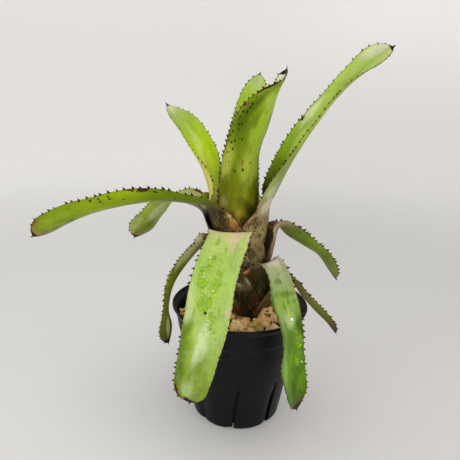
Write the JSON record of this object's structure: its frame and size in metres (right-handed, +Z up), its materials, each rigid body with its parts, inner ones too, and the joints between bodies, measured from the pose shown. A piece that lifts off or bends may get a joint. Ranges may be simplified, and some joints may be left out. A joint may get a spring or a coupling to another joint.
{
  "type": "potted bromeliad",
  "caption": "Spiny-leaved tank bromeliad with a narrow leaning tube of sheaths and arching strap leaves, rooted in pumice in a round slitted nursery pot.",
  "frame": {"origin": "middle of the pot's flat underside, on the surface it stands on", "axes": "+Z up, -Y towards the front of the plant as it is shown, +X to the right seen from the front"},
  "size_m": [0.2765, 0.1412, 0.3211],
  "materials": {
    "pot": "satin",
    "pumice_fill": "rough",
    "stem_with_roots": "rough",
    "leaf_left_long": "satin",
    "leaf_left_arched": "satin",
    "leaf_upper_left": "satin",
    "leaf_centre_upright": "satin",
    "leaf_front_hanging": "satin",
    "leaf_right_long": "satin",
    "leaf_back_upright": "satin",
    "leaf_right_short": "satin",
    "leaf_right_hanging": "satin",
    "leaf_right_low": "satin",
    "leaf_left_drooping": "satin"
  },
  "bodies": {
    "root": {"pot": "pot", "pumice_fill": "pumice_fill", "stem_with_roots": "stem_with_roots", "leaf_left_long": "leaf_left_long", "leaf_left_arched": "leaf_left_arched", "leaf_upper_left": "leaf_upper_left", "leaf_centre_upright": "leaf_centre_upright", "leaf_front_hanging": "leaf_front_hanging", "leaf_right_long": "leaf_right_long", "leaf_back_upright": "leaf_back_upright", "leaf_right_short": "leaf_right_short", "leaf_right_hanging": "leaf_right_hanging", "leaf_right_low": "leaf_right_low", "leaf_left_drooping": "leaf_left_drooping"}
  },
  "joints": []
}
